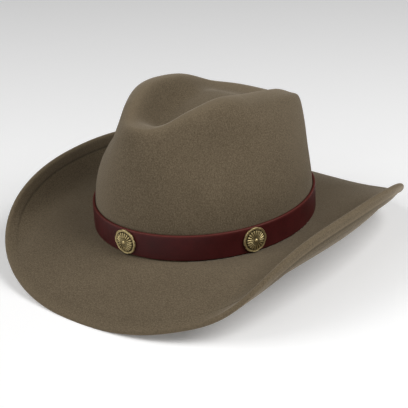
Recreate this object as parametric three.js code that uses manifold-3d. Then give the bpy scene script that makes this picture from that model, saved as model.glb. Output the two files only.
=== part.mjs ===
// A western hat of wool felt with a pinched crown, a brim rolled up at both sides, a leather band
// and three domed sunburst conchos. Sizes are in millimetres.
// The wearer looks along -Y, the wearer's left is +X, and the hat stands on z = 0.
// Angles run round the crown: 0 at the front, 90 at the wearer's left, 180 at the back.
import * as THREE from "three";
import { mergeVertices } from "three/addons/utils/BufferGeometryUtils.js";
import Module from "manifold-3d";

// Main sizes
const headLength = 200; // outside of the felt at the crown's foot, front to back
const headWidth = 176;
const feltThickness = 2.2;
const crownHeight = 118; // highest point of the ridge above the crown's foot
const brimWidth = 72; // along the felt, at the sides
const footHeight = 33.4; // the crown's foot above the surface the hat stands on
const crownForward = 7; // the crown's middle in front of the middle of the whole hat
const footRadius = 1.2; // small round between crown and brim

// Leather band and conchos
const bandHeight = 22;
const bandThickness = 2.2;
const bandLift = 1; // lower edge of the band above the crown's foot
const bandChamfer = 0.5;
const bandClear = 0.8; // share of the foot's round that the band's lower edge stays above
const conchoDiameter = 21.5;
const conchoPitch = 111; // along the band, from one concho to the next
const conchoCount = 3;
const conchoRays = 20;
const conchoLobes = 8;
const conchoHeight = 3.8; // over the bead in its middle
const lobeDepth = 0.045; // share of the radius that a notch between two lobes takes
const postDiameter = 3.2;
const postRoot = 0.8; // how deep the post is rooted in the concho
const postInset = 0.2; // how far the post ends behind the band's inner face
const fitGap = 0.3; // clearance between neighbouring pieces

// Doubled felt at the brim's edge
const weltWidth = 10.5;
const weltThickness = 4.6;
const weltGroove = 0.6;
const weltSlope = 1.4; // each flank of the pressed line along the welt
const weltStep = 0.6; // run of the step under the brim where the doubled felt ends

const halfLength = headLength / 2;
const halfWidth = headWidth / 2;

// Sections of the crown's wall from foot to ridge. The heights, one column for the front and sides and
// one for the back, are shares of the ridge's height at that angle, and front, back and side are
// shares of the foot's half length and half width.
const wallSections = [
  { place: 0.0, height: 0.0, backHeight: 0.0, front: 1.0, back: 1.0, side: 1.0 },
  { place: 0.2, height: 0.27, backHeight: 0.27, front: 1.008, back: 0.985, side: 0.987 },
  { place: 0.4, height: 0.54, backHeight: 0.544, front: 0.984, back: 0.987, side: 0.889 },
  { place: 0.6, height: 0.78, backHeight: 0.783, front: 0.946, back: 0.989, side: 0.785 },
  { place: 0.78, height: 0.915, backHeight: 0.949, front: 0.907, back: 0.993, side: 0.663 },
  { place: 0.9, height: 0.98, backHeight: 0.976, front: 0.87, back: 0.954, side: 0.563 },
  { place: 1.0, height: 1.0, backHeight: 1.0, front: 0.832, back: 0.884, side: 0.452 },
];
const backTurn = { from: 60, span: 90 }; // degrees over which the back's heights come in
// The ridge's height round the crown, as a share of the crown's height. Negative angles are the
// wearer's right, where the worn crown sags a little lower behind.
const ridgeRows = [
  { angle: -180, height: 0.712 },
  { angle: -150, height: 0.742 },
  { angle: -125, height: 0.811 },
  { angle: -100, height: 0.955 },
  { angle: -75, height: 1.0 },
  { angle: -50, height: 0.963 },
  { angle: -25, height: 0.892 },
  { angle: 0, height: 0.882 },
  { angle: 25, height: 0.892 },
  { angle: 50, height: 0.963 },
  { angle: 75, height: 1.0 },
  { angle: 100, height: 0.94 },
  { angle: 125, height: 0.864 },
  { angle: 150, height: 0.755 },
  { angle: 180, height: 0.712 },
];
const backCorner = { side: 0.156, length: 0.211 }; // fuller corners at the back of the top
// One pinch on each side of the front; heights and lengths are shares of the crown's height
const pinch = { angle: 54.7, height: 0.757, turnSpread: 28.1, heightSpread: 0.198, depth: 0.093 };
// The dent in the top: its middle along the length, the share of the way from ridge to middle
// that its wall takes, and the floor's height along the length
const dent = { middle: -0.06, wallShare: 0.62 };
const floorRows = [
  { place: -0.85, height: 0.763 },
  { place: -0.6, height: 0.746 },
  { place: -0.3, height: 0.78 },
  { place: 0, height: 0.831 },
  { place: 0.3, height: 0.842 },
  { place: 0.6, height: 0.775 },
  { place: 0.9, height: 0.71 },
];
// The brim's width round the hat and how far its edge hangs below the sides, as shares of its width
const brimRows = [
  { angle: 0, width: 0.958 },
  { angle: 45, width: 1.111 },
  { angle: 90, width: 1.0 },
  { angle: 135, width: 1.097 },
  { angle: 180, width: 1.153 },
];
const dropRows = [
  { angle: 0, drop: 0.556 },
  { angle: 20, drop: 0.492 },
  { angle: 40, drop: 0.3 },
  { angle: 60, drop: 0.115 },
  { angle: 80, drop: 0.031 },
  { angle: 110, drop: 0.017 },
  { angle: 130, drop: 0.028 },
  { angle: 150, drop: 0.299 },
  { angle: 165, drop: 0.486 },
  { angle: 180, drop: 0.553 },
];
const dropCurve = { front: 1.27, back: 1.6 };
const brimRise = 0.108; // how far the whole brim climbs from foot to edge
// The worn brim's two sides don't sit quite alike: how far the edge is lifted, as a share of the
// brim's width, at angles from the wearer's right (negative) to the left
const liftRows = [
  { angle: -180, lift: 0 },
  { angle: -150, lift: -0.036 },
  { angle: -50, lift: -0.036 },
  { angle: -20, lift: 0 },
  { angle: 90, lift: 0 },
  { angle: 115, lift: 0.036 },
  { angle: 145, lift: 0.036 },
  { angle: 180, lift: 0 },
];
// Both sides roll up: where the roll starts off the middle plane, how that start moves in towards
// front and back, the angle of the full roll and the length of felt it takes
const roll = { start: 1.29, narrowing: 0.116, angle: 138.8, length: 0.917 };

const columns = 64; // round the felt
const bandColumns = 60;
const degree = Math.PI / 180;

// A smooth curve through the rows of a table: cubic pieces whose slope at each row is that of the
// chord between its neighbours. A level end meets its mirror image, or a level form, without a kink.
function alongTable(rows, key, column, place, levelFirst = false, levelLast = levelFirst) {
  const last = rows.length - 1;
  const slope = (i) => {
    if ((levelFirst && i === 0) || (levelLast && i === last)) return 0;
    const a = rows[Math.max(i - 1, 0)];
    const b = rows[Math.min(i + 1, last)];
    return (b[column] - a[column]) / (b[key] - a[key]);
  };
  let i = 0;
  while (i < last - 1 && place >= rows[i + 1][key]) i++;
  const span = rows[i + 1][key] - rows[i][key];
  const t = Math.min(Math.max((place - rows[i][key]) / span, 0), 1);
  const t2 = t * t;
  const t3 = t2 * t;
  return (
    (2 * t3 - 3 * t2 + 1) * rows[i][column] +
    (t3 - 2 * t2 + t) * span * slope(i) +
    (3 * t2 - 2 * t3) * rows[i + 1][column] +
    (t3 - t2) * span * slope(i + 1)
  );
}

const signedTurn = (angle) => ((((angle / degree + 180) % 360) + 360) % 360) - 180;
const foldedTurn = (angle) => Math.abs(signedTurn(angle));
const bell = (distance, spread) => Math.exp(-((distance / spread) ** 2));
const easeInOut = (t) => t * t * t * (t * (6 * t - 15) + 10);

// Outward direction of the foot's oval at a plan point
function ovalNormal(x, y) {
  const n = new THREE.Vector2(x / halfWidth ** 2, y / halfLength ** 2);
  return n.normalize();
}

// A point of the crown's outer wall, from place 0 at the foot to 1 at the ridge
function wallPoint(angle, place) {
  const turn = foldedTurn(angle);
  const at = (column) => alongTable(wallSections, "place", column, place);
  const climb = (column) => alongTable(wallSections, "place", column, place, false, true);
  const backness = easeInOut(Math.min(Math.max((turn - backTurn.from) / backTurn.span, 0), 1));
  const rise = climb("height") * (1 - backness) + climb("backHeight") * backness;
  const ridge = crownHeight * alongTable(ridgeRows, "angle", "height", signedTurn(angle), true);
  const c = Math.cos(angle);
  const s = Math.sin(angle);
  const corner = c < 0 ? rise * rise : 0;
  const x = halfWidth * at("side") * s * (1 + corner * backCorner.side * c * c);
  const length = halfLength * (c > 0 ? at("front") : at("back"));
  const y = -length * c * (1 + corner * backCorner.length * s * s);
  const z = footRadius + rise * (ridge - footRadius);
  const n = ovalNormal(x, y || 1e-9);
  const inward =
    crownHeight *
    pinch.depth *
    bell(turn - pinch.angle, pinch.turnSpread) *
    bell(z / crownHeight - pinch.height, pinch.heightSpread);
  return new THREE.Vector3(x - n.x * inward, y - n.y * inward, z);
}

// A point of the dent, from 0 at the ridge to 1 in the middle of the top
function dentPoint(angle, share) {
  const ridge = wallPoint(angle, 1);
  const middle = dent.middle * halfLength;
  const x = ridge.x * (1 - share);
  const y = middle + (ridge.y - middle) * (1 - share);
  const down = easeInOut(Math.min(share / dent.wallShare, 1));
  const floor = crownHeight * alongTable(floorRows, "place", "height", y / halfLength);
  return new THREE.Vector3(x, y, ridge.z + (floor - ridge.z) * down);
}

// The small round where the wall turns out into the brim, from 0 at the wall to 1 at the brim
function footPoint(angle, share) {
  const x = halfWidth * Math.sin(angle);
  const y = -halfLength * Math.cos(angle);
  const n = ovalNormal(x, y);
  const out = footRadius * (1 - Math.cos((share * Math.PI) / 2));
  const up = footRadius * (1 - Math.sin((share * Math.PI) / 2));
  return new THREE.Vector3(x + n.x * out, y + n.y * out, up);
}

// The roll's shape across the hat, summed up in small steps along the felt
const rollSteps = 160;
const rollLength = roll.length * brimWidth;
const rollPath = [new THREE.Vector2(0, 0)];
for (let i = 1; i <= rollSteps; i++) {
  const t = (i - 0.5) / rollSteps;
  const bend = roll.angle * degree * t * t * (3 - 2 * t);
  const step = new THREE.Vector2(Math.cos(bend), Math.sin(bend));
  rollPath.push(step.multiplyScalar(rollLength / rollSteps).add(rollPath[i - 1]));
}
function rollAt(length) {
  const place = Math.min(Math.max(length / rollLength, 0), 1) * rollSteps;
  const i = Math.min(Math.floor(place), rollSteps - 1);
  return rollPath[i].clone().lerp(rollPath[i + 1], place - i);
}

const brimWidthAt = (angle) =>
  brimWidth * alongTable(brimRows, "angle", "width", foldedTurn(angle), true);

// A point of the brim's upper side, from share 0 at the crown's foot to 1 at the edge
function brimPoint(angle, share) {
  const width = brimWidthAt(angle) * share;
  const footX = halfWidth * Math.sin(angle);
  const footY = -halfLength * Math.cos(angle);
  const n = ovalNormal(footX, footY);
  const flatX = Math.abs(footX + n.x * width);
  const y = footY + n.y * width;
  const start = halfWidth * (roll.start - roll.narrowing * (y / halfLength) ** 2);
  const rolled = flatX > start ? rollAt(flatX - start) : new THREE.Vector2(0, 0);
  const x = flatX > start ? start + rolled.x : flatX;
  const drop = alongTable(dropRows, "angle", "drop", foldedTurn(angle), true);
  const frontness = (Math.cos(angle) + 1) / 2;
  const power = dropCurve.back + (dropCurve.front - dropCurve.back) * frontness;
  const lift = alongTable(liftRows, "angle", "lift", signedTurn(angle), true) * share ** 2;
  const z = rolled.y + brimWidth * (brimRise * share + lift - drop * share ** power);
  return new THREE.Vector3(x * Math.sign(footX), y, z);
}

// The whole felt sheet: each form gives its upper side, and its normal comes from small steps
const forms = { dent: dentPoint, wall: wallPoint, foot: footPoint, brim: brimPoint };
const outwardSign = { dent: 1, wall: 1, foot: -1, brim: -1 };
function sheetPoint(row, angle) {
  const form = forms[row.form];
  const place = row.fromEdge === undefined ? row.place : 1 - row.fromEdge / brimWidthAt(angle);
  const small = 1e-3;
  const low = Math.max(place - small, row.form === "brim" ? 1e-4 : 0);
  const high = Math.min(place + small, row.form === "brim" ? 2 : 1);
  const along = form(angle, high).sub(form(angle, low));
  const round = form(angle + small, place).sub(form(angle - small, place));
  const normal = round.cross(along).normalize().multiplyScalar(outwardSign[row.form]);
  return form(angle, place).addScaledVector(normal, row.up);
}

// Rings of the felt from the middle of the top, over the ridge, down the wall, out to the edge,
// round it and back up inside to the middle again. "up" is the height above the sheet's upper side.
const ring = (form, place, up = 0) => ({ form, place, up });
const edgeRing = (fromEdge, up) => ({ form: "brim", fromEdge, up });
const outerDent = [0.84, 0.7, 0.58, 0.47, 0.36, 0.25, 0.13].map((p) => ring("dent", p));
const outerWall = [1, 0.95, 0.9, 0.84, 0.78, 0.7, 0.6, 0.5, 0.4, 0.3, 0.2, 0.1, 0];
const outerFoot = [ring("foot", 0.5), ring("foot", 1)];
const outerBrim = [0.14, 0.26, 0.37, 0.47, 0.56, 0.65, 0.73, 0.8].map((p) => ring("brim", p));
const edgeRadius = weltThickness / 2;
const welt = [
  edgeRing(weltWidth + weltSlope, 0),
  edgeRing(weltWidth, -weltGroove),
  edgeRing(weltWidth - weltSlope, 0),
  ...[0, 45, 90, 135, 180].map((a) =>
    edgeRing(
      edgeRadius * (1 - Math.sin(a * degree)),
      -edgeRadius * (1 - Math.cos(a * degree)),
    ),
  ),
  edgeRing(weltWidth - weltStep, -weltThickness),
  edgeRing(weltWidth, -feltThickness),
];
const innerBrim = [0.8, 0.71, 0.61, 0.5, 0.37, 0.22].map((p) => ring("brim", p, -feltThickness));
const innerFoot = [1, 0.5].map((p) => ring("foot", p, -feltThickness));
const innerWall = [0, 0.15, 0.3, 0.45, 0.6, 0.74, 0.86, 0.95];
const innerDent = [0, 0.2, 0.36, 0.5, 0.66, 0.84].map((p) => ring("dent", p, -feltThickness));
const feltRings = [
  ...outerDent,
  ...outerWall.map((p) => ring("wall", p)),
  ...outerFoot,
  ...outerBrim,
  ...welt,
  ...innerBrim,
  ...innerFoot,
  ...innerWall.map((p) => ring("wall", p, -feltThickness)),
  ...innerDent,
];

// Closes rings of equal length into one skin, with a fan to a single point at each end. The point
// lists run round the same way in every ring.
function skinOver(rings, firstPoint, lastPoint) {
  const count = rings[0].length;
  const points = [firstPoint, ...rings.flat(), lastPoint];
  const faces = [];
  const at = (r, c) => 1 + r * count + (c % count);
  for (let c = 0; c < count; c++) {
    faces.push(0, at(0, c), at(0, c + 1));
    for (let r = 0; r + 1 < rings.length; r++) {
      faces.push(at(r, c), at(r + 1, c), at(r + 1, c + 1));
      faces.push(at(r, c), at(r + 1, c + 1), at(r, c + 1));
    }
    faces.push(points.length - 1, at(rings.length - 1, c + 1), at(rings.length - 1, c));
  }
  return geometryFrom(points, faces);
}

// A closed loop: the same section carried round, its last ring joined to its first
function loopOver(sections) {
  const count = sections[0].length;
  const points = sections.flat();
  const faces = [];
  const at = (s, c) => (s % sections.length) * count + (c % count);
  for (let s = 0; s < sections.length; s++) {
    for (let c = 0; c < count; c++) {
      faces.push(at(s, c), at(s + 1, c + 1), at(s + 1, c));
      faces.push(at(s, c), at(s, c + 1), at(s + 1, c + 1));
    }
  }
  return geometryFrom(points, faces);
}

function geometryFrom(points, faces) {
  const geometry = new THREE.BufferGeometry();
  geometry.setAttribute(
    "position",
    new THREE.Float32BufferAttribute(points.flatMap((p) => [p.x, p.y, p.z]), 3),
  );
  geometry.setIndex(faces);
  return geometry;
}

// Solids for cutting and joining
const wasm = await Module();
wasm.setup();
function solidFrom(geometry) {
  const bare = geometry.clone();
  bare.deleteAttribute("normal");
  bare.deleteAttribute("uv");
  const merged = mergeVertices(bare, 1e-4);
  return new wasm.Manifold(
    new wasm.Mesh({
      numProp: 3,
      vertProperties: new Float32Array(merged.attributes.position.array),
      triVerts: new Uint32Array(merged.index.array),
    }),
  );
}
function geometryOf(solid) {
  const mesh = solid.getMesh();
  const geometry = new THREE.BufferGeometry();
  geometry.setAttribute("position", new THREE.Float32BufferAttribute(mesh.vertProperties, 3));
  geometry.setIndex(new THREE.Uint32BufferAttribute(mesh.triVerts, 1));
  return geometry;
}

const group = new THREE.Group();
function addPiece(name, geometry, material) {
  geometry.computeVertexNormals();
  const mesh = new THREE.Mesh(geometry, material);
  mesh.name = name;
  group.add(mesh);
}

// Felt body: crown and brim are one blocked piece. The underside is pressed flat where it stands.
const feltMaterial = new THREE.MeshStandardMaterial({ color: 0x6f6350, roughness: 0.95 });
const placed = (x, y, z) => new THREE.Vector3(x, y - crownForward, z + footHeight);
const placedOnFloor = (p) => {
  const spot = placed(p.x, p.y, p.z);
  return spot.setZ(Math.max(spot.z, 0));
};
const angleOfColumn = (c, count) => (c / count) * 2 * Math.PI;
const feltRows = feltRings.map((row) =>
  Array.from({ length: columns }, (_, c) =>
    placedOnFloor(sheetPoint(row, angleOfColumn(c, columns))),
  ),
);
const topMiddle = placedOnFloor(dentPoint(0, 1));
const insideMiddle = topMiddle.clone().setZ(topMiddle.z - feltThickness);
addPiece("felt_body", skinOver(feltRows, topMiddle, insideMiddle), feltMaterial);

// The crown's outer wall at a height, pushed outward by a distance
function wallAtHeight(angle, height, out) {
  let low = 0;
  let high = 0.6;
  for (let i = 0; i < 30; i++) {
    const middle = (low + high) / 2;
    if (wallPoint(angle, middle).z < height) low = middle;
    else high = middle;
  }
  const p = wallPoint(angle, low);
  const n = ovalNormal(halfWidth * Math.sin(angle), -halfLength * Math.cos(angle));
  return placed(p.x + n.x * out, p.y + n.y * out, height);
}

// Band section, from the lower inner corner up the outside and back down: height and distance out
const bandLow = Math.max(bandLift, footRadius * bandClear);
const bandHigh = bandLow + bandHeight;
const bandIn = fitGap;
const bandOut = fitGap + bandThickness;
const bandSection = [
  [bandLow, bandIn],
  [bandHigh, bandIn],
  [bandHigh, bandOut - bandChamfer],
  [bandHigh - bandChamfer, bandOut],
  [bandLow + bandChamfer, bandOut],
  [bandLow, bandOut - bandChamfer],
];
const bandLoop = Array.from({ length: bandColumns }, (_, c) =>
  bandSection.map(([height, out]) => wallAtHeight(angleOfColumn(c, bandColumns), height, out)),
);
let bandSolid = solidFrom(loopOver(bandLoop));

// Angles at which the conchos sit: equal steps along the band's outer face, the middle one in front
function angleAtDistance(distance) {
  const steps = 720;
  let angle = 0;
  let run = 0;
  const turn = (Math.sign(distance) * Math.PI) / steps;
  const middle = (bandLow + bandHigh) / 2;
  let last = wallAtHeight(0, middle, bandOut);
  while (run < Math.abs(distance)) {
    angle += turn;
    const next = wallAtHeight(angle, middle, bandOut);
    run += next.distanceTo(last);
    last = next;
  }
  return angle;
}

// One concho seen from its face: rays run out from a bead over a dome to a scalloped rim. Radii are
// shares of its half diameter, heights above its back and the rays' depth are shares of its height,
// and "lobe" is how much of the scallop shows.
const conchoRings = [
  { radius: 0.13, height: 0.816, ray: 0, lobe: 0 },
  { radius: 0.45, height: 0.776, ray: 0.13, lobe: 0 },
  { radius: 0.77, height: 0.355, ray: 0.118, lobe: 0 },
  { radius: 0.85, height: 0.447, ray: 0, lobe: 0.5 },
  { radius: 0.97, height: 0.395, ray: 0, lobe: 1 },
  { radius: 1.0, height: 0, ray: 0, lobe: 1 },
];
const postSides = 12;
function conchoSolid() {
  const spokes = conchoRays * 2;
  const rings = conchoRings.map((row) =>
    Array.from({ length: spokes }, (_, i) => {
      const angle = angleOfColumn(i, spokes);
      const scallop = 1 - row.lobe * lobeDepth * (1 - Math.abs(Math.cos((conchoLobes / 2) * angle)));
      const radius = (conchoDiameter / 2) * row.radius * scallop;
      const height = conchoHeight * (row.height - (i % 2) * row.ray);
      return new THREE.Vector3(radius * Math.cos(angle), radius * Math.sin(angle), height);
    }),
  );
  const disc = solidFrom(
    skinOver(rings, new THREE.Vector3(0, 0, conchoHeight), new THREE.Vector3(0, 0, 0)),
  );
  const postEnd = fitGap + bandThickness - postInset;
  const radius = postDiameter / 2;
  const post = new THREE.CylinderGeometry(radius, radius, postEnd + postRoot, postSides);
  post.rotateX(Math.PI / 2);
  post.translate(0, 0, (postRoot - postEnd) / 2);
  return disc.add(solidFrom(post));
}

// The matrix that lays a concho against the band, its face pointing outward and its top leaning as
// the band leans
function conchoPlace(distance, out) {
  const angle = angleAtDistance(distance);
  const spot = wallAtHeight(angle, (bandLow + bandHigh) / 2, out);
  const foot = wallAtHeight(angle, bandLow, out);
  const up = wallAtHeight(angle, bandHigh, out).sub(foot).normalize();
  const n = ovalNormal(halfWidth * Math.sin(angle), -halfLength * Math.cos(angle));
  const across = up.clone().cross(new THREE.Vector3(n.x, n.y, 0)).normalize();
  const face = across.clone().cross(up);
  return new THREE.Matrix4().makeBasis(across, up, face).setPosition(spot);
}

const brass = new THREE.MeshStandardMaterial({ color: 0xa08c4a, roughness: 0.4, metalness: 1 });
const concho = conchoSolid();
for (let i = 0; i < conchoCount; i++) {
  const distance = (i - (conchoCount - 1) / 2) * conchoPitch;
  const place = conchoPlace(distance, bandOut + fitGap);
  addPiece("concho_" + (i + 1), geometryOf(concho.transform(place.elements)), brass);
  const holeRadius = postDiameter / 2 + fitGap;
  const hole = new THREE.CylinderGeometry(holeRadius, holeRadius, 4 * bandThickness, postSides);
  hole.rotateX(Math.PI / 2);
  hole.applyMatrix4(conchoPlace(distance, (bandIn + bandOut) / 2));
  bandSolid = bandSolid.subtract(solidFrom(hole));
}

const leather = new THREE.MeshStandardMaterial({ color: 0x451616, roughness: 0.5 });
addPiece("leather_band", geometryOf(bandSolid), leather);

export default group;
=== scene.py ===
"""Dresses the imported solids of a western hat: one smooth felt sheet for crown and brim, a leather
band and domed sunburst conchos, on a plain pale floor. Lengths are in metres.
The wearer looks along -Y and the wearer's left is +X. Angles run round the crown: 0 at the front,
90 degrees at the wearer's left and 180 at the back."""

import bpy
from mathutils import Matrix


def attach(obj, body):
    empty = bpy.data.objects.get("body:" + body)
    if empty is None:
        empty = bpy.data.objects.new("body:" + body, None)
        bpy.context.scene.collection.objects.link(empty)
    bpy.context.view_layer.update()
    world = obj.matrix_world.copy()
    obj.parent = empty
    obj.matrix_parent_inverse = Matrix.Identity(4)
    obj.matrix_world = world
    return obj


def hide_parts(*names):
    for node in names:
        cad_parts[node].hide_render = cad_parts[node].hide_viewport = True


bl_info = {
    "name": "Western hat",
    "version": (1, 0, 0),
    "blender": (4, 5, 0),
    "location": "3D View > Sidebar > Hat",
    "description": "Felt, leather and brass of a western hat, built round its packed solids",
    "category": "Add Mesh",
}

import bpy
import numpy as np
from bpy.props import FloatProperty, FloatVectorProperty, IntProperty, PointerProperty
from mathutils import Matrix, Vector

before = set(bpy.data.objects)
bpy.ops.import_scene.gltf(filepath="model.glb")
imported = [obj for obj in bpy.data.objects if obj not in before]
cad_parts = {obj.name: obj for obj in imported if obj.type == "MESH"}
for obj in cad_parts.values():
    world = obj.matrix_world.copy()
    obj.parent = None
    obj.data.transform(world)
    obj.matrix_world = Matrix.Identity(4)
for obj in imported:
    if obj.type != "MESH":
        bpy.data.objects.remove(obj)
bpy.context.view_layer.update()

MM = 0.001
BODY = "root"
CONCHOS = sorted(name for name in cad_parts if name.startswith("concho_"))

# Sections of the crown's wall from foot to ridge. The heights, one row for the front and sides and one
# for the back, are shares of the ridge's height at that angle, and front, back and side are shares of
# the foot's half length and half width.
WALL_SECTIONS = {
    "place": (0.0, 0.2, 0.4, 0.6, 0.78, 0.9, 1.0),
    "height": (0.0, 0.27, 0.54, 0.78, 0.915, 0.98, 1.0),
    "back_height": (0.0, 0.27, 0.544, 0.783, 0.949, 0.976, 1.0),
    "front": (1.0, 1.008, 0.984, 0.946, 0.907, 0.87, 0.832),
    "back": (1.0, 0.985, 0.987, 0.989, 0.993, 0.954, 0.884),
    "side": (1.0, 0.987, 0.889, 0.785, 0.663, 0.563, 0.452),
}
BACK_TURN = {"from": 60, "span": 90}  # degrees over which the back's heights come in
# The ridge's height round the crown, as a share of the crown's height. Negative angles are the
# wearer's right, where the worn crown sags a little lower behind.
RIDGE_ROWS = {
    "angle": (-180, -150, -125, -100, -75, -50, -25, 0, 25, 50, 75, 100, 125, 150, 180),
    "height": (0.712, 0.742, 0.811, 0.955, 1.0, 0.963, 0.892, 0.882,
               0.892, 0.963, 1.0, 0.94, 0.864, 0.755, 0.712),
}
BACK_CORNER = {"side": 0.156, "length": 0.211}
# One pinch on each side of the front; heights and lengths are shares of the crown's height
PINCH = {"angle": 54.7, "height": 0.757, "turn_spread": 28.1, "height_spread": 0.198, "depth": 0.093}
# The dent in the top: its middle along the length, the share of the way from ridge to middle
# that its wall takes, and the floor's height along the length
DENT = {"middle": -0.06, "wall_share": 0.62}
FLOOR_ROWS = {
    "place": (-0.85, -0.6, -0.3, 0.0, 0.3, 0.6, 0.9),
    "height": (0.763, 0.746, 0.78, 0.831, 0.842, 0.775, 0.71),
}
# The brim's width round the hat and how far its edge hangs below the sides, as shares of its width
BRIM_ROWS = {"angle": (0, 45, 90, 135, 180), "width": (0.958, 1.111, 1.0, 1.097, 1.153)}
DROP_ROWS = {
    "angle": (0, 20, 40, 60, 80, 110, 130, 150, 165, 180),
    "drop": (0.556, 0.492, 0.3, 0.115, 0.031, 0.017, 0.028, 0.299, 0.486, 0.553),
}
DROP_CURVE = {"front": 1.27, "back": 1.6}
BRIM_RISE = 0.108
# The worn brim's two sides don't sit quite alike: how far the edge is lifted, as a share of the brim's
# width, at angles from the wearer's right (negative) to the left
LIFT_ROWS = {
    "angle": (-180, -150, -50, -20, 90, 115, 145, 180),
    "lift": (0, -0.036, -0.036, 0, 0, 0.036, 0.036, 0),
}
# Both sides roll up: where the roll starts off the middle plane, how that start moves in towards
# front and back, the angle of the full roll in degrees and the length of felt it takes
ROLL = {"start": 1.29, "narrowing": 0.116, "angle": 138.8, "length": 0.917}
ROLL_POINTS = 161  # points of the table that the roll's curve is summed in

# How finely the surfaces are cut: rows along each stretch of the felt's skin, from the dent's middle
# over the ridge, out to the edge and back inside, and faces round the band and a concho
FELT_ROWS = {
    "dent": 42, "wall": 72, "foot": 5, "brim": 58, "welt": 19, "lip": 5, "edge": 13,
    "under": 18, "step": 6, "inner_brim": 26, "inner_foot": 4, "inner_wall": 26, "inner_dent": 18,
}
DENT_END = 0.97  # share of the way to the dent's middle at which its rows end in a fan
BAND_COLUMNS = 360
CONCHO_COLUMNS = 320
SMALL = 1e-3  # step in angle and place from which a surface's normal is taken
# A height on the wall is found by halving the place between the foot and BAND_REACH
BAND_REACH = 0.6
HALVINGS = 30
PATH_POINTS = 8 * 360 + 1  # points of the band's middle line, an eighth of a degree apart
TINY = 1e-12  # keeps a division or a power off zero
FOOT_CLEAR = 0.8  # the band starts this share of the foot's radius above the foot, or higher
# The felt's inner side under the brim carries painted shade
INSIDE_PAINTED_SHADE = 0.4  # how dark the felt's inner side is, as a share of the pressed line

# The stage: half the floor's side and the camera's far end in metres, its sensor in millimetres, the
# picture's side in pixels and the pixel where the middle of the crown's foot shows
FLOOR_HALF = 6.0
CAMERA_FAR = 20
SENSOR = 36
PICTURE = 408
FOOT_PIXEL = (206.1, 211.4)


class FeltSizes(bpy.types.PropertyGroup):
    """Sizes and colours of the felt crown and brim."""

    head_length: FloatProperty(
        name="Head length", description="Outside of the felt at the crown's foot, front to back",
        default=200 * MM, unit="LENGTH", subtype="DISTANCE")
    head_width: FloatProperty(
        name="Head width", description="Outside of the felt at the crown's foot, side to side",
        default=176 * MM, unit="LENGTH", subtype="DISTANCE")
    thickness: FloatProperty(
        name="Felt thickness", description="Thickness of the felt away from the brim's edge",
        default=2.2 * MM, unit="LENGTH", subtype="DISTANCE")
    crown_height: FloatProperty(
        name="Crown height", description="Highest point of the ridge above the crown's foot",
        default=118 * MM, unit="LENGTH", subtype="DISTANCE")
    brim_width: FloatProperty(
        name="Brim width", description="Width of the brim along the felt, at the sides",
        default=72 * MM, unit="LENGTH", subtype="DISTANCE")
    foot_height: FloatProperty(
        name="Foot height", description="The crown's foot above the floor",
        default=33.4 * MM, unit="LENGTH", subtype="DISTANCE")
    crown_forward: FloatProperty(
        name="Crown forward", description="The crown's middle in front of the hat's middle",
        default=7 * MM, unit="LENGTH", subtype="DISTANCE")
    foot_radius: FloatProperty(
        name="Foot radius", description="Small round between crown and brim",
        default=1.2 * MM, unit="LENGTH", subtype="DISTANCE")
    welt_width: FloatProperty(
        name="Welt width", description="Width of the doubled felt at the brim's edge",
        default=10.5 * MM, unit="LENGTH", subtype="DISTANCE")
    welt_thickness: FloatProperty(
        name="Welt thickness", description="Thickness of the doubled felt",
        default=4.6 * MM, unit="LENGTH", subtype="DISTANCE")
    # The fold line places a painted dark line and a paler line under the brim
    fold_line: FloatProperty(
        name="Fold line", description="Line under the brim, inward from its edge",
        default=6.5 * MM, unit="LENGTH", subtype="DISTANCE")
    groove_depth: FloatProperty(
        name="Groove depth", description="Depth of the pressed line along the welt",
        default=0.6 * MM, unit="LENGTH", subtype="DISTANCE")
    columns: IntProperty(
        name="Columns", description="Faces round the hat", default=320, min=48, max=400)
    shade: FloatVectorProperty(
        name="Felt, dark", description="Felt in the hollows of its nap",
        default=(0.072, 0.053, 0.031), subtype="COLOR", min=0, max=1)
    light: FloatVectorProperty(
        name="Felt, light", description="Felt on the tips of its nap",
        default=(0.172, 0.133, 0.085), subtype="COLOR", min=0, max=1)


class BandSizes(bpy.types.PropertyGroup):
    """Sizes and colours of the leather band."""

    height: FloatProperty(
        name="Band height", description="Height of the band",
        default=22 * MM, unit="LENGTH", subtype="DISTANCE")
    thickness: FloatProperty(
        name="Band thickness", description="Thickness of the leather",
        default=2.2 * MM, unit="LENGTH", subtype="DISTANCE")
    lift: FloatProperty(
        name="Band lift", description="Lower edge of the band above the crown's foot",
        default=1 * MM, unit="LENGTH", subtype="DISTANCE")
    gap: FloatProperty(
        name="Gap", description="Clearance between neighbouring pieces",
        default=0.3 * MM, unit="LENGTH", subtype="DISTANCE")
    edge_radius: FloatProperty(
        name="Edge radius", description="Round along the band's outer edges",
        default=0.7 * MM, unit="LENGTH", subtype="DISTANCE")
    shade: FloatVectorProperty(
        name="Leather, dark", description="Leather in its grain",
        default=(0.03, 0.003, 0.003), subtype="COLOR", min=0, max=1)
    light: FloatVectorProperty(
        name="Leather, light", description="Leather on its grain",
        default=(0.078, 0.008, 0.008), subtype="COLOR", min=0, max=1)
    # The edge colour is the cut edge's paler leather and, on the upper edge, a painted highlight
    edge: FloatVectorProperty(
        name="Leather, edge", description="Rubbed leather along the edges",
        default=(0.125, 0.024, 0.018), subtype="COLOR", min=0, max=1)


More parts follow.
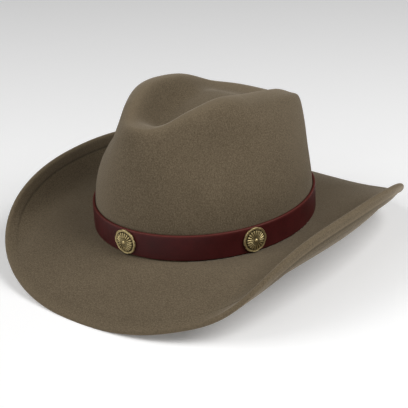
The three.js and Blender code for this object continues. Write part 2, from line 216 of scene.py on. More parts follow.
class ConchoSizes(bpy.types.PropertyGroup):
    """Sizes and colours of the brass conchos."""

    diameter: FloatProperty(
        name="Diameter", description="Diameter over the lobes",
        default=21.5 * MM, unit="LENGTH", subtype="DISTANCE")
    pitch: FloatProperty(
        name="Pitch", description="Along the band, from one concho to the next",
        default=111 * MM, unit="LENGTH", subtype="DISTANCE")
    rays: IntProperty(name="Rays", description="Rays of the sunburst", default=20, min=6)
    lobes: IntProperty(name="Lobes", description="Lobes of the rim", default=8, min=3)
    lobe_depth: FloatProperty(
        name="Lobe depth", description="Share of the radius that a notch takes", default=0.045)
    # The dark brass stands for tarnish and painted shade in the hollows
    shade: FloatVectorProperty(
        name="Brass, dark", description="Tarnish in the hollows",
        default=(0.022, 0.015, 0.005), subtype="COLOR", min=0, max=1)
    light: FloatVectorProperty(
        name="Brass, light", description="Rubbed brass on what stands proud",
        default=(0.72, 0.58, 0.29), subtype="COLOR", min=0, max=1)


class StageSizes(bpy.types.PropertyGroup):
    """Floor, light and camera."""

    turn: FloatProperty(
        name="Camera turn", description="Camera's place round the hat, from the front to +X",
        default=np.radians(39.8), subtype="ANGLE")
    tilt: FloatProperty(
        name="Camera height", description="Camera's angle above the floor",
        default=np.radians(24.41), subtype="ANGLE")
    roll: FloatProperty(
        name="Camera roll", description="The camera's lean, clockwise",
        default=np.radians(2.13), subtype="ANGLE")
    distance: FloatProperty(
        name="Camera distance", description="From the middle of the crown's foot",
        default=1.25, unit="LENGTH", subtype="DISTANCE")
    lens: FloatProperty(
        name="Lens", description="Focal length in millimetres on a 36 mm sensor", default=127.4)
    floor: FloatVectorProperty(
        name="Floor", description="Colour of the floor",
        default=(0.94, 0.94, 0.94), subtype="COLOR", min=0, max=1)
    glow: FloatProperty(
        name="Floor glow", description="Light from below, as on a light table", default=0.16)
    sky: FloatProperty(name="Sky", description="Strength of the light from all round", default=0.06)
    key: FloatProperty(name="Key light", description="Power of the main light, in watts", default=16)
    key_place: FloatVectorProperty(
        name="Key place", description="Where the main light hangs",
        default=(1.0, 0.2, 1.09), unit="LENGTH", subtype="TRANSLATION")
    left: FloatProperty(
        name="Left light", description="Power of the light from the left, in watts", default=8.5)
    left_place: FloatVectorProperty(
        name="Left place", description="Where the light from the left hangs",
        default=(-0.75, -0.75, 1.06), unit="LENGTH", subtype="TRANSLATION")
    front: FloatProperty(
        name="Front light", description="Power of the light from the front, in watts", default=3.5)
    front_place: FloatVectorProperty(
        name="Front place", description="Where the light from the front hangs",
        default=(0.0, -1.15, 0.96), unit="LENGTH", subtype="TRANSLATION")
    light_size: FloatProperty(
        name="Light size", description="Side of each light's square", default=0.9,
        unit="LENGTH", subtype="DISTANCE")


# Curves and tables


def along_table(rows, column, place, level_first=False, level_last=None):
    """A smooth curve through one column of a table. Between two rows it is the cubic with the rows'
    values and, at each row, the slope of the chord between its neighbours. A level end has slope 0."""
    level_last = level_first if level_last is None else level_last
    keys = np.asarray(next(iter(rows.values())), float)
    values = np.asarray(rows[column], float)
    slopes = np.empty_like(values)
    slopes[1:-1] = (values[2:] - values[:-2]) / (keys[2:] - keys[:-2])
    slopes[0] = 0 if level_first else (values[1] - values[0]) / (keys[1] - keys[0])
    slopes[-1] = 0 if level_last else (values[-1] - values[-2]) / (keys[-1] - keys[-2])
    i = np.clip(np.searchsorted(keys, place, side="right") - 1, 0, len(keys) - 2)
    span = keys[i + 1] - keys[i]
    t = np.clip((place - keys[i]) / span, 0, 1)
    rise = t * t * (3 - 2 * t)
    first = t * (1 - t) ** 2
    second = t * t * (t - 1)
    bend = span * (first * slopes[i] + second * slopes[i + 1])
    return values[i] * (1 - rise) + values[i + 1] * rise + bend


def signed_turn(angle):
    """The angle in degrees from the front, negative on the wearer's right."""
    return (np.degrees(angle) + 180) % 360 - 180


def folded_turn(angle):
    """The angle in degrees from the front, the same on both sides."""
    return np.abs(signed_turn(angle))


def bell(distance, spread):
    """1 at distance 0, falling off as the exponential of minus the square."""
    return np.exp(-((distance / spread) ** 2))


def ease(t):
    """From 0 to 1 with no slope and no bend at both ends: the fifth-power curve."""
    t = np.clip(t, 0, 1)
    return t * t * t * (t * (6 * t - 15) + 10)


def stacked(x, y, z):
    """Three arrays as one array of points."""
    return np.stack(np.broadcast_arrays(x, y, z), axis=-1)


# The felt sheet's upper side, as functions of the angle round the crown and a place along it


class FeltShape:
    """The hat's upper side. Each form takes an angle and a place from 0 to 1 and gives points."""

    def __init__(self, sizes):
        """The roll's curve is a table: its bend eases in as the cubic 3t2 - 2t3, and steps along
        the felt by the cosine and sine of the bend add up to how far out and up it has come."""
        self.sizes = sizes
        self.half_length = sizes.head_length / 2
        self.half_width = sizes.head_width / 2
        steps = np.linspace(0, 1, ROLL_POINTS)
        bend = np.radians(ROLL["angle"]) * steps**2 * (3 - 2 * steps)
        middle = (bend[1:] + bend[:-1]) / 2
        self.roll_length = ROLL["length"] * sizes.brim_width
        step = self.roll_length / (len(steps) - 1)
        self.roll_along = steps * self.roll_length
        self.roll_out = np.concatenate([[0], np.cumsum(np.cos(middle) * step)])
        self.roll_up = np.concatenate([[0], np.cumsum(np.sin(middle) * step)])

    def oval_normal(self, x, y):
        """Unit vector out of the foot's oval: each coordinate over its half axis squared."""
        nx, ny = x / self.half_width**2, y / self.half_length**2
        length = np.hypot(nx, ny) + TINY
        return nx / length, ny / length

    def oval(self, angle):
        """The crown's foot: sine of the angle across, minus its cosine along."""
        return self.half_width * np.sin(angle), -self.half_length * np.cos(angle)

    def wall(self, angle, place):
        """The crown's wall from foot to ridge: an oval at each height, whose half axes and height
        come from the sections, fuller at the two back corners and pushed in by the pinches."""
        high = self.sizes.crown_height
        radius = self.sizes.foot_radius
        turn = folded_turn(angle)
        backness = ease((turn - BACK_TURN["from"]) / BACK_TURN["span"])
        rise = along_table(WALL_SECTIONS, "height", place, False, True) * (1 - backness)
        rise = rise + along_table(WALL_SECTIONS, "back_height", place, False, True) * backness
        ridge = high * along_table(RIDGE_ROWS, "height", signed_turn(angle), True)
        across, along = np.sin(angle), np.cos(angle)
        corner = (along < 0) * rise**2
        x = self.half_width * along_table(WALL_SECTIONS, "side", place) * across
        x = x * (1 + corner * BACK_CORNER["side"] * along**2)
        front = along_table(WALL_SECTIONS, "front", place)
        back = along_table(WALL_SECTIONS, "back", place)
        y = -self.half_length * np.where(along > 0, front, back) * along
        y = y * (1 + corner * BACK_CORNER["length"] * across**2)
        z = radius + rise * (ridge - radius)
        nx, ny = self.oval_normal(x, y)
        inward = high * PINCH["depth"] * bell(turn - PINCH["angle"], PINCH["turn_spread"])
        inward = inward * bell(z / high - PINCH["height"], PINCH["height_spread"])
        return stacked(x - nx * inward, y - ny * inward, z)

    def dent(self, angle, share):
        """The top's dent from ridge to middle: straight in plan, and in height eased from the ridge
        down to the floor, whose height is a curve along the hat."""
        ridge = self.wall(angle, np.ones_like(share))
        middle = DENT["middle"] * self.half_length
        x = ridge[..., 0] * (1 - share)
        y = middle + (ridge[..., 1] - middle) * (1 - share)
        down = ease(share / DENT["wall_share"])
        floor = self.sizes.crown_height * along_table(FLOOR_ROWS, "height", y / self.half_length)
        return stacked(x, y, ridge[..., 2] + (floor - ridge[..., 2]) * down)

    def foot(self, angle, share):
        """The small round from wall to brim: a quarter circle off the foot's oval."""
        x, y = self.oval(angle)
        nx, ny = self.oval_normal(x, y)
        radius = self.sizes.foot_radius
        out = radius * (1 - np.cos(share * np.pi / 2))
        return stacked(x + nx * out, y + ny * out, radius * (1 - np.sin(share * np.pi / 2)))

    def brim_width(self, angle):
        """The brim's width round the hat."""
        return self.sizes.brim_width * along_table(BRIM_ROWS, "width", folded_turn(angle), True)

    def brim(self, angle, share):
        """The brim from foot to edge: off the oval by its width, bent up along the roll past a line
        beside the crown, lifted a little, and hanging by a power of the share at front and back."""
        wide = self.sizes.brim_width
        foot_x, foot_y = self.oval(angle)
        nx, ny = self.oval_normal(foot_x, foot_y)
        out = self.brim_width(angle) * share
        flat_x, y = foot_x + nx * out, foot_y + ny * out
        start = self.half_width * (ROLL["start"] - ROLL["narrowing"] * (y / self.half_length) ** 2)
        past = np.abs(flat_x) - start
        x = np.where(past > 0, start + np.interp(past, self.roll_along, self.roll_out), np.abs(flat_x))
        up = np.where(past > 0, np.interp(past, self.roll_along, self.roll_up), 0)
        drop = along_table(DROP_ROWS, "drop", folded_turn(angle), True)
        frontness = (np.cos(angle) + 1) / 2
        power = DROP_CURVE["back"] + (DROP_CURVE["front"] - DROP_CURVE["back"]) * frontness
        lift = along_table(LIFT_ROWS, "lift", signed_turn(angle), True) * share**2
        z = up + wide * (BRIM_RISE * share + lift - drop * np.maximum(share, TINY) ** power)
        return stacked(x * np.sign(foot_x), y, z)

    def wall_at_height(self, angle, height, out):
        """The wall's point at a height, found by halving the place, then moved out of the oval."""
        low, high = np.zeros_like(angle), np.full_like(angle, BAND_REACH)
        for _ in range(HALVINGS):
            middle = (low + high) / 2
            under = self.wall(angle, middle)[..., 2] < height
            low, high = np.where(under, middle, low), np.where(under, high, middle)
        point = self.wall(angle, low)
        nx, ny = self.oval_normal(*self.oval(angle))
        return stacked(point[..., 0] + nx * out, point[..., 1] + ny * out, height)

    def placed(self, points):
        """From the crown's foot to the hat's own frame, never under the floor."""
        moved = points + np.array([0, -self.sizes.crown_forward, self.sizes.foot_height])
        moved[..., 2] = np.maximum(moved[..., 2], 0)
        return moved


def offset_rows(form, angle, place, up, side, last=1.0):
    """Rows of one form moved off it by up. The normal is the cross product of the form's steps round
    and along, turned to the upper side."""
    place = np.broadcast_to(place, np.broadcast_shapes(np.shape(place), np.shape(angle)))
    along = form(angle, np.minimum(place + SMALL, last)) - form(angle, np.maximum(place - SMALL, 0))
    across = form(angle + SMALL, place) - form(angle - SMALL, place)
    normal = np.cross(across, along) * side
    normal /= np.linalg.norm(normal, axis=-1, keepdims=True)
    return form(angle, place) + normal * np.broadcast_to(up, place.shape)[..., None]


# Meshes


def mesh_piece(name, points, faces, material, masks=()):
    """A mesh object at the origin from points and faces, with float attributes on its points."""
    mesh = bpy.data.meshes.new(name)
    mesh.from_pydata(points.reshape(-1, 3).tolist(), [], faces)
    for key, values in masks:
        layer = mesh.attributes.new(key, "FLOAT", "POINT")
        layer.data.foreach_set("value", np.ascontiguousarray(values, np.float32).ravel())
    mesh.materials.append(material)
    mesh.shade_smooth()
    mesh.validate()
    piece = bpy.data.objects.new(name, mesh)
    bpy.context.scene.collection.objects.link(piece)
    return piece


def grid_faces(rows, columns, first=0, loop_rows=False):
    """Quads between neighbouring rows of a grid whose columns close on themselves."""
    r = np.arange(rows if loop_rows else rows - 1)[:, None]
    c = np.arange(columns)[None, :]
    here, there = r % rows * columns, (r + 1) % rows * columns
    nxt = (c + 1) % columns
    quads = np.stack([here + c, there + c, there + nxt, here + nxt], axis=-1) + first
    return quads.reshape(-1, 4)


def capped_skin(rows, top, bottom):
    """A grid of rows closed by a fan to one point at each end."""
    count, columns = rows.shape[:2]
    points = np.concatenate([[top], rows.reshape(-1, 3), [bottom]])
    c = np.arange(columns)
    nxt = (c + 1) % columns
    last = 1 + (count - 1) * columns
    first_fan = np.stack([np.zeros_like(c), 1 + c, 1 + nxt], axis=-1)
    last_fan = np.stack([np.full_like(c, len(points) - 1), last + nxt, last + c], axis=-1)
    return points, first_fan.tolist() + grid_faces(count, columns, 1).tolist() + last_fan.tolist()


# Materials


def group_of(name, numbers, result):
    """An empty node group that takes a Vector and some numbers and puts out one number."""
    group = bpy.data.node_groups.new(name, "ShaderNodeTree")
    new_socket = group.interface.new_socket
    new_socket("Vector", in_out="INPUT", socket_type="NodeSocketVector")
    for key in numbers:
        new_socket(key, in_out="INPUT", socket_type="NodeSocketFloat")
    new_socket(result, in_out="OUTPUT", socket_type="NodeSocketFloat")
    return group, group.nodes.new("NodeGroupInput"), group.nodes.new("NodeGroupOutput")


def mottle_group():
    """Cloudy mask from 0 to 1: noise, stretched about its middle by the contrast."""
    group, given, result = group_of("mottle", ("Scale", "Detail", "Contrast"), "Mask")
    middle = 0.5
    noise = group.nodes.new("ShaderNodeTexNoise")
    stretch = group.nodes.new("ShaderNodeMath")
    stretch.operation = "MULTIPLY_ADD"
    centre = group.nodes.new("ShaderNodeMath")
    centre.operation = "SUBTRACT"
    centre.inputs[1].default_value = middle
    stretch.inputs[2].default_value = middle
    stretch.use_clamp = True
    link = group.links.new
    for key in ("Vector", "Scale", "Detail"):
        link(given.outputs[key], noise.inputs[key])
    link(noise.outputs["Fac"], centre.inputs[0])
    link(centre.outputs[0], stretch.inputs[0])
    link(given.outputs["Contrast"], stretch.inputs[1])
    link(stretch.outputs[0], result.inputs["Mask"])
    return group


def grain_group():
    """Height of a fine surface: a fine noise and a coarse one, mixed by the coarse share."""
    group, given, result = group_of("grain", ("Fine", "Coarse", "Coarse Share"), "Height")
    fine = group.nodes.new("ShaderNodeTexNoise")
    coarse = group.nodes.new("ShaderNodeTexNoise")
    fine.inputs["Detail"].default_value = 3
    coarse.inputs["Detail"].default_value = 2
    mix = group.nodes.new("ShaderNodeMix")
    link = group.links.new
    link(given.outputs["Vector"], fine.inputs["Vector"])
    link(given.outputs["Vector"], coarse.inputs["Vector"])
    link(given.outputs["Fine"], fine.inputs["Scale"])
    link(given.outputs["Coarse"], coarse.inputs["Scale"])
    link(given.outputs["Coarse Share"], mix.inputs["Factor"])
    link(fine.outputs["Fac"], mix.inputs["A"])
    link(coarse.outputs["Fac"], mix.inputs["B"])
    link(mix.outputs["Result"], result.inputs["Height"])
    return group


def shared_group(name, make):
    """A node group that is built once."""
    return bpy.data.node_groups.get(name) or make()


class Painter:
    """Makes one node material and places its nodes. Patterns follow the Object coordinate."""

    def __init__(self, name, colour, roughness):
        self.material = bpy.data.materials.new(name)
        self.material.use_nodes = True
        self.material.diffuse_color = (*colour, 1)
        self.nodes = self.material.node_tree.nodes
        self.links = self.material.node_tree.links
        self.shader = self.nodes["Principled BSDF"]
        self.plain({"Base Color": (*colour, 1), "Roughness": roughness})
        self.place = self.nodes.new("ShaderNodeTexCoord").outputs["Object"]

    def plain(self, values):
        """Values that are the same all over, on the shader's own sockets."""
        for key, value in values.items():
            self.shader.inputs[key].default_value = value

    def varied(self, key, output):
        """A colour or value that changes over the surface, into the shader."""
        self.links.new(output, self.shader.inputs[key])

    def fill(self, port, value):
        """A socket's value: another socket, a colour or a number."""
        if isinstance(value, bpy.types.NodeSocket):
            self.links.new(value, port)
        elif port.type == "RGBA":
            port.default_value = (*value, 1)
        else:
            port.default_value = value

    def group(self, make, name, output, **values):
        """One of the shared groups with its own values."""
        node = self.nodes.new("ShaderNodeGroup")
        node.node_tree = shared_group(name, make)
        self.links.new(self.place, node.inputs["Vector"])
        for key, value in values.items():
            node.inputs[key.replace("_", " ")].default_value = value
        return node.outputs[output]

    def mask(self, **values):
        """A cloudy mask from the mottle group."""
        return self.group(mottle_group, "mottle", "Mask", **values)

    def height(self, **values):
        """The height of a fine surface from the grain group."""
        return self.group(grain_group, "grain", "Height", **values)

    def attribute(self, name):
        """A mask kept on the mesh's points."""
        node = self.nodes.new("ShaderNodeAttribute")
        node.attribute_name = name
        return node.outputs["Fac"]

    def math(self, operation, first, second):
        """One sum or product."""
        node = self.nodes.new("ShaderNodeMath")
        node.operation = operation
        for port, value in zip(node.inputs, (first, second)):
            self.fill(port, value)
        return node.outputs[0]

    def total(self, first, *others):
        """Masks times their shares, added up. Each is given as a pair."""
        result = self.math("MULTIPLY", *first)
        for other in others:
            result = self.math("ADD", result, self.math("MULTIPLY", *other))
        return result

    def mixed(self, factor, first, second):
        """A colour between two colours or sockets."""
        node = self.nodes.new("ShaderNodeMix")
        node.data_type = "RGBA"
        ports = [port for port in node.inputs if port.enabled]
        for port, value in zip(ports, (factor, first, second)):
            self.fill(port, value)
        return next(port for port in node.outputs if port.enabled)

    def toward(self, attribute, share, colour, other):
        """A colour moved by a share toward another where the mesh's mask is full."""
        return self.mixed(self.math("MULTIPLY", self.attribute(attribute), share), colour, other)

    def spread(self, factor, low, high):
        """A value from low to high as the factor goes from 0 to 1."""
        node = self.nodes.new("ShaderNodeMapRange")
        self.links.new(factor, node.inputs["Value"])
        node.inputs["To Min"].default_value = low
        node.inputs["To Max"].default_value = high
        return node.outputs["Result"]

    def bump(self, height, distance, strength):
        """Fine relief from a height."""
        node = self.nodes.new("ShaderNodeBump")
        node.inputs["Distance"].default_value = distance
        node.inputs["Strength"].default_value = strength
        self.links.new(height, node.inputs["Height"])
        self.varied("Normal", node.outputs["Normal"])


def felt_material(sizes):
    """Wool felt: a fine mottled nap of dark and light tips with a soft sheen, paler on the ridge and
    the edge, partly worn and partly a painted highlight, with painted shade in the pressed line and
    inside."""
    paler, darker = 1.3, 0.45
    paint = Painter("wool_felt", sizes.light, roughness=0.92)
    nap = paint.mask(Scale=1300, Detail=2, Contrast=3.2)
    cloud = paint.mask(Scale=48, Detail=3, Contrast=1.6)
    fleck = paint.mask(Scale=880, Detail=1, Contrast=2.8)
    tone = paint.total((nap, 0.4), (fleck, 0.45), (cloud, 0.15))
    colour = paint.mixed(tone, sizes.shade, sizes.light)
    # Paler where wear and painted highlight lie, darker where painted shade lies
    colour = paint.toward("wear_and_highlight", 0.35, colour, [paler * part for part in sizes.light])
    colour = paint.toward("painted_shade", 0.55, colour, [darker * part for part in sizes.shade])
    paint.varied("Base Color", colour)
    paint.plain({"Specular IOR Level": 0.15, "Sheen Weight": 0.38, "Sheen Roughness": 0.45,
                 "Sheen Tint": (0.85, 0.75, 0.6, 1)})
    nap_height = paint.height(Fine=2400, Coarse=700, Coarse_Share=0.45)
    paint.bump(nap_height, distance=0.35 * MM, strength=0.55)
    return paint.material


def leather_material(sizes):
    """Waxed leather: dark fine grain under an uneven satin gloss, lighter along the edges: the cut
    edge's own paler colour, and on the upper edge also a painted highlight.
    """
    paint = Painter("oxblood_leather", sizes.light, roughness=0.5)
    grain = paint.mask(Scale=900, Detail=4, Contrast=1.8)
    cloud = paint.mask(Scale=70, Detail=2, Contrast=1.5)
    tone = paint.total((grain, 0.45), (cloud, 0.55))
    colour = paint.mixed(tone, sizes.shade, sizes.light)
    paint.varied("Base Color", paint.toward("edge", 0.8, colour, sizes.edge))
    paint.varied("Roughness", paint.spread(cloud, 0.46, 0.6))
    paint.plain({"Specular IOR Level": 0.25})
    pores = paint.height(Fine=1900, Coarse=420, Coarse_Share=0.5)
    paint.bump(pores, distance=0.12 * MM, strength=0.5)
    return paint.material


def brass_material(sizes):
    """Antique brass: dull tarnish and painted shade in the hollows, worn bright on what stands proud.
    """
    paint = Painter("antique_brass", sizes.light, roughness=0.38)
    worn = paint.mask(Scale=900, Detail=3, Contrast=1.6)
    # The proud mask darkens the hollows by tarnish and painted shade
    tone = paint.math("MULTIPLY", paint.attribute("proud"), paint.spread(worn, 0.7, 1.05))
    paint.varied("Base Color", paint.mixed(tone, sizes.shade, sizes.light))
    paint.varied("Roughness", paint.spread(tone, 0.6, 0.42))
    paint.plain({"Metallic": 0.85})
    casting = paint.height(Fine=2200, Coarse=800, Coarse_Share=0.5)
    paint.bump(casting, distance=0.05 * MM, strength=0.4)
    return paint.material


# Pieces


def felt_rows(shape):
    """Rows of the felt's skin from the middle of the top, over the ridge, down the wall, out to the
    edge, round it and back up inside, and with each row its painted shade, in the pressed line and
    inside, and how pale it is, worn and with a painted highlight, on the ridge and along the edge.
    Both masks are bells about their lines."""
    sizes = shape.sizes
    angle = np.linspace(0, 2 * np.pi, sizes.columns, endpoint=False)[None, :]
    thick = sizes.thickness
    welt = sizes.welt_width
    edge_radius = sizes.welt_thickness / 2
    width = shape.brim_width(angle)
    zone = 3 * MM  # finer rows on each side of the pressed line
    clear = 0.6 * MM  # left free between two stretches of rows
    beside = 0.6 * MM  # from the fold line to the rubbed line outside it
    fold_spread = 0.7 * MM  # half width of the line under the brim

    def column(values):
        """Values down a column, one to a row."""
        return np.asarray(values)[:, None]

    def line(first, last, stretch):
        """Even steps, as many as the stretch has rows."""
        return np.linspace(first, last, FELT_ROWS[stretch])

    upper = column(line(0, 1, "brim")[1:-1]) * (1 - (welt + zone) / width)
    from_edge = column(np.concatenate([line(welt + zone, welt - zone, "welt"),
                                       line(welt - zone - MM, edge_radius + clear, "lip")]))
    # The pressed line, its dent and its painted shade, all but fades out at the front, where the felt
    # lies smooth
    faint, fade_from, fade_span = 0.12, 30, 45
    shown = faint + (1 - faint) * ease((folded_turn(angle) - fade_from) / fade_span)
    pressed = shown * bell(from_edge - welt, 1.1 * MM)
    round_edge = np.radians(column(line(0, 180, "edge")))
    under_edge = column(line(edge_radius + clear, welt - 0.8 * MM, "under"))
    # Under the brim, painted shade: a dark line just inside the fold line and a darker zone inward of
    # it; just outside it a pale line, partly worn felt and partly a painted highlight
    fold = sizes.fold_line - under_edge
    past_fold = INSIDE_PAINTED_SHADE * ease((0.5 * MM - fold) / (2 * MM))
    folded = np.clip(bell(fold + fold_spread, fold_spread) + past_fold, 0, 1)
    # The raw edge's step carries painted shade, deepest in its inner corner
    step = column(line(0, 1, "step"))
    step_width = 0.5 * MM
    raw_from_edge = welt - step_width + step_width * step
    raw_up = -sizes.welt_thickness + (sizes.welt_thickness - thick) * ease(step)
    raw_shade = INSIDE_PAINTED_SHADE + (1 - INSIDE_PAINTED_SHADE) * bell(step - 1, 0.4)
    inner = column(line(1, 0, "inner_brim")[1:-1]) * (1 - (welt + clear) / width)
    dent = column(line(DENT_END, 0, "dent")[:-1])
    wall = column(line(1, 0, "wall"))
    # The ridge is paler, partly worn and partly a painted highlight
    ridge_spread = {"dent": 0.14, "wall": 0.12}
    # Each stretch: its form, place, lift off the form, side, painted shade mask and the mask of wear
    # and painted highlight
    stretches = [
        (shape.dent, dent, 0, 1, 0, bell(dent, ridge_spread["dent"])),
        (shape.wall, wall, 0, 1, 0, bell(1 - wall, ridge_spread["wall"])),
        (shape.foot, column(line(0, 1, "foot")[1:]), 0, -1, 0, 0),
        (shape.brim, upper, 0, -1, 0, 0),
        # The welt and the round edge are paler, partly worn and partly a painted highlight, and the
        # pressed line carries painted shade
        (shape.brim, 1 - from_edge / width, -sizes.groove_depth * pressed, -1, pressed,
         0.5 * bell(from_edge, 5 * MM)),
        (shape.brim, 1 - edge_radius * (1 - np.sin(round_edge)) / width,
         -edge_radius * (1 - np.cos(round_edge)), -1, 0, 0.5),
        (shape.brim, 1 - under_edge / width, -sizes.welt_thickness, -1, folded,
         0.9 * bell(fold - beside, fold_spread)),
        (shape.brim, 1 - raw_from_edge / width, raw_up, -1, raw_shade, 0),
        (shape.brim, inner, -thick, -1, INSIDE_PAINTED_SHADE, 0),
        (shape.foot, column(line(1, 0, "inner_foot")[:-1]), -thick, -1, 0, 0),
        (shape.wall, column(line(0, 1, "inner_wall")), -thick, 1, 0, 0),
        (shape.dent, column(line(0, DENT_END, "inner_dent")[1:]), -thick, 1, 0, 0),
    ]
    rows, painted_shade_rows, wear_and_highlight_rows = [], [], []
    for form, place, up, side, painted_shade, wear_and_highlight in stretches:
        last = 2.0 if form == shape.brim else 1.0
        part = offset_rows(form, angle, place, up, side, last)
        rows.append(shape.placed(part))
        painted_shade_rows.append(np.broadcast_to(painted_shade, part.shape[:2]))
        wear_and_highlight_rows.append(np.broadcast_to(wear_and_highlight, part.shape[:2]))
    return np.concatenate(rows), np.concatenate(painted_shade_rows), np.concatenate(wear_and_highlight_rows)


def concho_profile(sizes):
    """A concho lying on its back, z = 0. Its height over the radius is a dome with a bead in the
    middle and long rays like petals, each a rounded ridge that swells outward and ends round, then a
    flat flange with a low lip; its outline is drawn in between lobes. Radii are shares of the
    concho's own and heights are in millimetres."""
    bead_radius, bead_height = 0.12, 0.95
    dome_radius, dome_foot, dome_rise = 0.84, 1.2, 1.6
    ray_end, ray_height = 0.79, 1.1
    gap_end, gap_depth = 0.82, 0.6
    flange_start, flange_height = 0.78, 1.25
    lip_radius, lip_height = 0.955, 0.2
    step = 0.05  # width of the step from dome to flange
    rim_width = 0.02
    radius = np.concatenate([np.linspace(0.02, 0.15, 8), np.linspace(0.17, 0.78, 44),
                             np.linspace(0.8, 1 - rim_width, 17)])[:, None]
    angle = np.linspace(0, 2 * np.pi, CONCHO_COLUMNS, endpoint=False)[None, :]
    bead = bead_height * np.sqrt(np.clip(1 - (radius / bead_radius) ** 2, 0, 1))
    dome = dome_foot + dome_rise * (1 - (radius / dome_radius) ** 2)
    wave = np.abs(np.sin(sizes.rays * angle / 2))
    tip = ray_end - step * (1 - wave)
    ray = wave ** 0.7 * ease((radius - 0.16) / 0.3) * ease((tip - radius) / 0.07)
    gap = ease((radius - 0.2) / 0.2) * ease((gap_end - radius) / step)
    flange = flange_height + lip_height * bell(radius - lip_radius, 0.025)
    inner = dome + bead + ray_height * ray - gap_depth * gap
    blend = ease((radius - flange_start) / step)
    height = inner * (1 - blend) + flange * blend
    # What stands proud is worn bright: the bead, the rays and the flange, but not the gaps, which hold
    # tarnish and painted shade, deepest between the rays
    proud = np.clip(0.34 * (1 - gap) + 0.95 * ray + 0.7 * ease((0.15 - radius) / 0.04)
                    + 0.5 * ease((radius - gap_end) / step) - 0.3 * gap * (1 - ray), 0, 1)
    rim_turn = np.radians(np.linspace(15, 90, 6))[:, None]
    rim_radius = 1 - rim_width + rim_width * np.sin(rim_turn)
    rim_height = flange_height * np.cos(rim_turn) ** 0.6 + 0 * angle
    radius = np.concatenate([radius, rim_radius])
    height = np.concatenate([height, rim_height])
    proud = np.concatenate([proud, 0.8 + 0 * rim_height])
    lobe = ease((radius - 0.7) / 0.25)
    notch = (1 - np.abs(np.cos(sizes.lobes * angle / 2))) ** 2
    reach = sizes.diameter / 2 * radius * (1 - sizes.lobe_depth * lobe * notch)
    rows = stacked(reach * np.cos(angle), reach * np.sin(angle), height * MM)
    top = np.array([0, 0, (dome_foot + dome_rise + bead_height) * MM])
    points, faces = capped_skin(rows, top, np.zeros(3))
    return points, faces, np.concatenate([[1], proud.ravel(), [0.3]])


def band_edges(band, felt):
    """Heights of the band's lower and upper edge above the crown's foot, clear of its round."""
    low = max(band.lift, FOOT_CLEAR * felt.foot_radius)
    return low, low + band.height


class HAT_OT_felt(bpy.types.Operator):
    """Felt crown and brim, one sheet from the dent to the rolled edge and back inside"""

    bl_idname = "hat.felt"
    bl_label = "Felt body"

    def execute(self, context):
        sizes = context.scene.hat_felt
        shape = FeltShape(sizes)
        rows, painted_shade, wear_and_highlight = felt_rows(shape)
        zero = np.zeros(1)
        pole = shape.placed(shape.dent(zero, np.ones(1)))[0]
        points, faces = capped_skin(rows, pole, pole - np.array([0, 0, sizes.thickness]))
        masks = [("painted_shade", np.concatenate([zero, painted_shade.ravel(), zero])),
                 ("wear_and_highlight", np.concatenate([zero, wear_and_highlight.ravel(), zero]))]
        piece = mesh_piece("felt", points, faces, felt_material(sizes), masks)
        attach(piece, BODY)
        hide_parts("felt_body")
        return {"FINISHED"}


class HAT_OT_band(bpy.types.Operator):
    """Leather band round the crown's foot, its outer edges rounded"""

    bl_idname = "hat.band"
    bl_label = "Leather band"

    def execute(self, context):
        sizes = context.scene.hat_band
        felt = context.scene.hat_felt
        shape = FeltShape(felt)
        low, high = band_edges(sizes, felt)
        outer = sizes.gap + sizes.thickness
        radius = sizes.edge_radius
        swell = 0.12 * MM  # the leather's face bulges by this in its middle
        round_rows, face_rows, inner_rows = 7, 15, 6
        turn = np.radians(np.linspace(0, 90, round_rows))
        face = np.linspace(0, 1, face_rows)[1:-1]
        inside = np.linspace(0, 1, inner_rows)
        heights = np.concatenate([
            low + (high - low) * inside,
            high - radius * (1 - np.cos(turn)),
            high - radius - (high - low - 2 * radius) * face,
            low + radius * (1 - np.sin(turn)),
        ])[:, None]
        outs = np.concatenate([
            np.full_like(inside, sizes.gap),
            outer - radius * (1 - np.sin(turn)),
            outer + swell * (1 - (2 * face - 1) ** 4),
            outer - radius * (1 - np.cos(turn)),
        ])[:, None]
        angle = np.linspace(0, 2 * np.pi, BAND_COLUMNS, endpoint=False)[None, :]
        angle = np.broadcast_to(angle, (len(heights), BAND_COLUMNS))
        rows = shape.placed(shape.wall_at_height(angle, np.broadcast_to(heights, angle.shape), outs))
        # Both edges are paler, the cut edge's own colour; the upper edge is paler still, with a
        # painted highlight
        edge = np.maximum(bell(heights - high, 0.9 * MM), 0.5 * bell(heights - low, 0.7 * MM))
        edge = np.broadcast_to(edge, angle.shape)
        faces = grid_faces(len(heights), BAND_COLUMNS, loop_rows=True)[:, ::-1].tolist()
        piece = mesh_piece("band", rows, faces, leather_material(sizes), [("edge", edge)])
        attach(piece, BODY)
        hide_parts("leather_band")
        return {"FINISHED"}


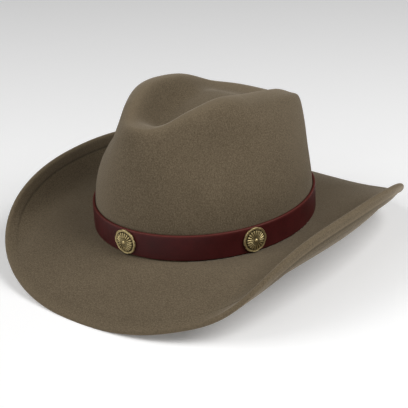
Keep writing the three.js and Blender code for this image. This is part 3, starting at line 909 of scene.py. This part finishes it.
class HAT_OT_conchos(bpy.types.Operator):
    """Brass conchos in equal steps along the band, the middle one in front"""

    bl_idname = "hat.conchos"
    bl_label = "Conchos"

    def execute(self, context):
        sizes = context.scene.hat_conchos
        band = context.scene.hat_band
        felt = context.scene.hat_felt
        shape = FeltShape(felt)
        low, high = band_edges(band, felt)
        height = low + band.height / 2
        outer = band.gap + band.thickness
        # The band's length is measured along its middle line
        angles = np.linspace(-np.pi, np.pi, PATH_POINTS)
        path = shape.wall_at_height(angles, height, outer)
        run = np.concatenate([[0], np.cumsum(np.linalg.norm(np.diff(path, axis=0), axis=1))])
        run -= np.interp(0, angles, run)
        points, faces, proud = concho_profile(sizes)
        material = brass_material(sizes)
        for i, node in enumerate(CONCHOS):
            distance = (i - (len(CONCHOS) - 1) / 2) * sizes.pitch
            angle = np.array([np.interp(distance, run, angles)])
            spot = shape.placed(shape.wall_at_height(angle, height, outer + band.gap))[0]
            foot, top = (shape.wall_at_height(angle, z, outer)[0] for z in (low, high))
            up = (top - foot) / np.linalg.norm(top - foot)
            nx, ny = shape.oval_normal(*shape.oval(angle))
            across = np.cross(up, [nx[0], ny[0], 0])
            across /= np.linalg.norm(across)
            turned = points @ np.stack([across, up, np.cross(across, up)]) + spot
            piece = mesh_piece(f"sunburst_{i + 1}", turned, faces, material, [("proud", proud)])
            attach(piece, BODY)
            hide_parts(node)
        return {"FINISHED"}


def area_light(name, place, target, size, power):
    """A square light that faces a target."""
    light = bpy.data.lights.new(name, "AREA")
    light.shape = "SQUARE"
    light.size = size
    light.energy = power
    lamp = bpy.data.objects.new(name, light)
    lamp.location = place
    lamp.rotation_euler = (Vector(target) - Vector(place)).to_track_quat("-Z", "Y").to_euler()
    bpy.context.scene.collection.objects.link(lamp)


class HAT_OT_stage(bpy.types.Operator):
    """Pale floor, three soft lights and the camera"""

    bl_idname = "hat.stage"
    bl_label = "Stage"

    def execute(self, context):
        scene = context.scene
        sizes = scene.hat_stage
        felt = scene.hat_felt
        paint = Painter("pale_floor", sizes.floor, roughness=0.9)
        paint.plain({"Emission Color": (1, 1, 1, 1), "Emission Strength": sizes.glow})
        half = FLOOR_HALF
        corners = np.array([[-half, -half, 0], [half, -half, 0], [half, half, 0], [-half, half, 0]])
        floor = mesh_piece("floor", corners, [(0, 1, 2, 3)], paint.material)
        world = bpy.data.worlds.new("studio")
        world.use_nodes = True
        sky = world.node_tree.nodes["Background"]
        sky.inputs["Color"].default_value = (1, 1, 1, 1)
        sky.inputs["Strength"].default_value = sizes.sky
        scene.world = world
        middle = (0, -felt.crown_forward, felt.foot_height)
        area_light("key", sizes.key_place, middle, sizes.light_size, sizes.key)
        area_light("left_light", sizes.left_place, middle, sizes.light_size, sizes.left)
        area_light("front_light", sizes.front_place, middle, sizes.light_size, sizes.front)

        # The camera looks at the middle of the crown's foot, turned, tilted and leaned
        right = Vector((np.cos(sizes.turn), np.sin(sizes.turn), 0))
        back = Vector((np.sin(sizes.turn) * np.cos(sizes.tilt),
                       -np.cos(sizes.turn) * np.cos(sizes.tilt), np.sin(sizes.tilt)))
        up = back.cross(right)
        across = right * np.cos(sizes.roll) - up * np.sin(sizes.roll)
        upright = right * np.sin(sizes.roll) + up * np.cos(sizes.roll)
        lens = bpy.data.cameras.new("camera")
        lens.lens = sizes.lens
        lens.sensor_width = SENSOR
        lens.shift_x = -(FOOT_PIXEL[0] - PICTURE / 2) / PICTURE
        lens.shift_y = (FOOT_PIXEL[1] - PICTURE / 2) / PICTURE
        lens.clip_end = CAMERA_FAR
        camera = bpy.data.objects.new("camera", lens)
        turned = Matrix((across, upright, back)).transposed().to_4x4()
        camera.matrix_world = Matrix.Translation(Vector(middle) + back * sizes.distance) @ turned
        scene.collection.objects.link(camera)
        scene.camera = camera
        scene.view_settings.view_transform = "Standard"
        return {"FINISHED"}


class HAT_PT_panel(bpy.types.Panel):
    """Sizes, colours and pieces of the hat"""

    bl_label = "Western hat"
    bl_idname = "HAT_PT_panel"
    bl_space_type = "VIEW_3D"
    bl_region_type = "UI"
    bl_category = "Hat"

    def draw(self, context):
        for attribute, operator in STEPS:
            box = self.layout.box()
            group = getattr(context.scene, attribute)
            for key in group.__annotations__:
                box.prop(group, key)
            box.operator(operator)


STEPS = (
    ("hat_stage", "hat.stage"),
    ("hat_felt", "hat.felt"),
    ("hat_band", "hat.band"),
    ("hat_conchos", "hat.conchos"),
)
GROUPS = {
    "hat_felt": FeltSizes,
    "hat_band": BandSizes,
    "hat_conchos": ConchoSizes,
    "hat_stage": StageSizes,
}
CLASSES = (*GROUPS.values(), HAT_OT_felt, HAT_OT_band, HAT_OT_conchos, HAT_OT_stage, HAT_PT_panel)


def register():
    """Makes the classes known and hangs each group of sizes on the scene."""
    for kind in CLASSES:
        bpy.utils.register_class(kind)
    for attribute, kind in GROUPS.items():
        setattr(bpy.types.Scene, attribute, PointerProperty(type=kind))


def unregister():
    """Takes back what register did, in the other order."""
    for attribute in GROUPS:
        delattr(bpy.types.Scene, attribute)
    for kind in reversed(CLASSES):
        bpy.utils.unregister_class(kind)


def main():
    """Builds every piece in turn."""
    register()
    bpy.ops.hat.stage()
    bpy.ops.hat.felt()
    bpy.ops.hat.band()
    bpy.ops.hat.conchos()


if __name__ == "__main__":
    main()
